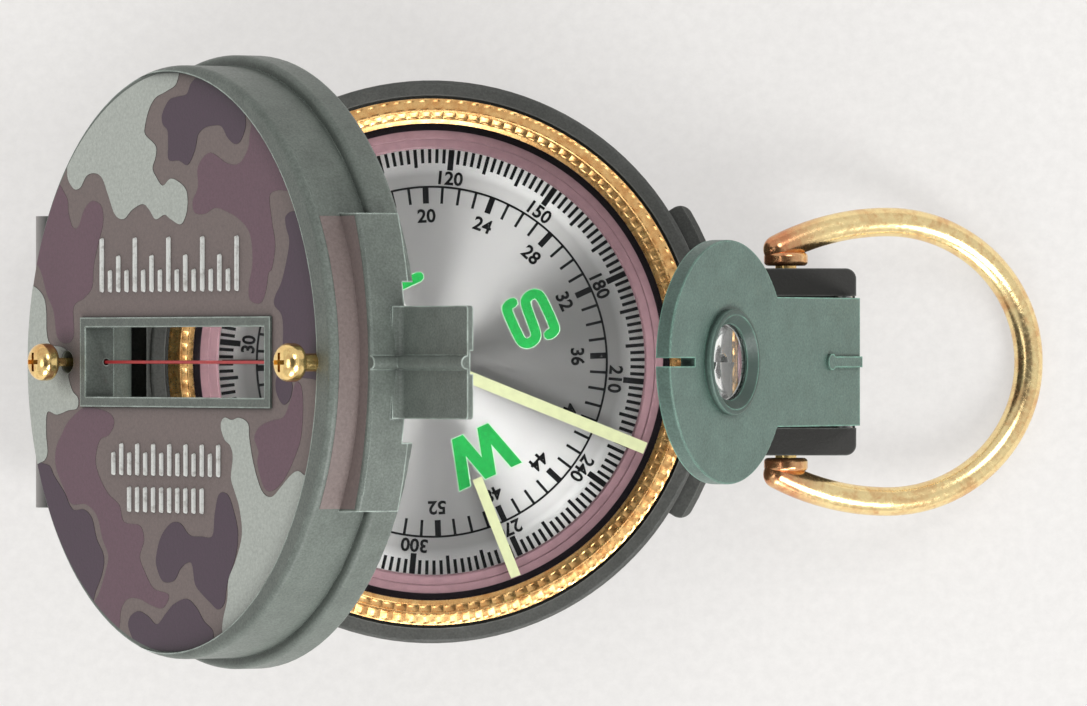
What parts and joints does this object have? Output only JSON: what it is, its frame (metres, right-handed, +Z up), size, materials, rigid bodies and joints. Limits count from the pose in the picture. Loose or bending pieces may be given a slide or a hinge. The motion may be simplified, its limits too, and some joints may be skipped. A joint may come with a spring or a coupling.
{
  "type": "sighting compass",
  "caption": "Folding sighting compass: round case with turning bezel over a floating card, hinged cover with sighting wire, folding magnifier bracket and wire thumb loop.",
  "frame": {"origin": "centre of the case's flat underside, on the axis of the card and bezel", "axes": "+Z up along the card's pivot, +X towards the magnifier bracket and thumb loop, +Y along the lid's hinge"},
  "size_m": [0.0945, 0.055, 0.076],
  "materials": {
    "case_paint": "satin",
    "lid_paint": "satin",
    "bracket_paint": "satin",
    "bezel_brass": "polished",
    "post_brass": "polished",
    "loop_brass": "polished",
    "pin_steel": "satin",
    "spring_steel": "satin",
    "cup_copper": "satin",
    "card_silver": "satin",
    "ring_mauve": "satin",
    "gasket_rubber": "matte",
    "crystal_glass": "polished",
    "lens_glass": "polished",
    "index_black": "matte",
    "luminous": "matte",
    "wire_red": "gloss",
    "magnet_steel": "satin",
    "jewel_red": "gloss"
  },
  "bodies": {
    "case": {"case_shell": "case_paint", "lid_hinge_pin": "pin_steel", "lens_hinge_pin": "pin_steel", "lens_detent_spring": "spring_steel", "loop_pivot_pins": "post_brass", "bezel_click_spring": "spring_steel", "capsule_cup": "cup_copper", "pivot_post": "post_brass", "pivot_needle": "pin_steel", "fixed_crystal": "crystal_glass", "fixed_index_line": "index_black", "chapter_ring": "ring_mauve", "crystal_gasket": "gasket_rubber"},
    "card": {"compass_card": "card_silver", "jewel_housing": "post_brass", "jewel": "jewel_red", "bar_magnet": "magnet_steel"},
    "bezel": {"bezel_ring": "bezel_brass", "bezel_crystal": "crystal_glass", "bezel_retaining_ring": "bezel_brass", "luminous_line_long": "luminous", "luminous_line_short": "luminous"},
    "lid": {"lid_shell": "lid_paint", "rear_wire_post": "post_brass", "front_wire_post": "post_brass", "post_nuts": "post_brass", "sighting_wire": "wire_red"},
    "lens_arm": {"lens_bracket": "bracket_paint", "magnifier_lens": "lens_glass", "lens_retaining_ring": "spring_steel"},
    "loop": {"thumb_loop": "loop_brass"}
  },
  "joints": [
    {"name": "lid_hinge", "type": "hinge", "parent": "case", "child": "lid", "pos_m": [-0.03025, 0, 0.0152], "axis": [0, -1, 0], "range_deg": [-56.6, 33.4]},
    {"name": "lens_hinge", "type": "hinge", "parent": "case", "child": "lens_arm", "pos_m": [0.0382, 0, 0.01745], "axis": [0, 1, 0], "range_deg": [-60.35, 35.65]},
    {"name": "loop_pivot", "type": "hinge", "parent": "case", "child": "loop", "pos_m": [0.033, 0, 0.0116], "axis": [0, -1, 0], "range_deg": [-60, 88]},
    {"name": "card_pivot", "type": "hinge", "parent": "case", "child": "card", "pos_m": [0, 0, 0.0123], "axis": [0, 0, 1], "continuous": true},
    {"name": "bezel_turn", "type": "hinge", "parent": "case", "child": "bezel", "pos_m": [0, 0, 0.0166], "axis": [0, 0, 1], "continuous": true}
  ],
  "couplings": [
    {"joint": "lens_hinge", "follows": "lid_hinge", "ratio": 1.065}
  ]
}
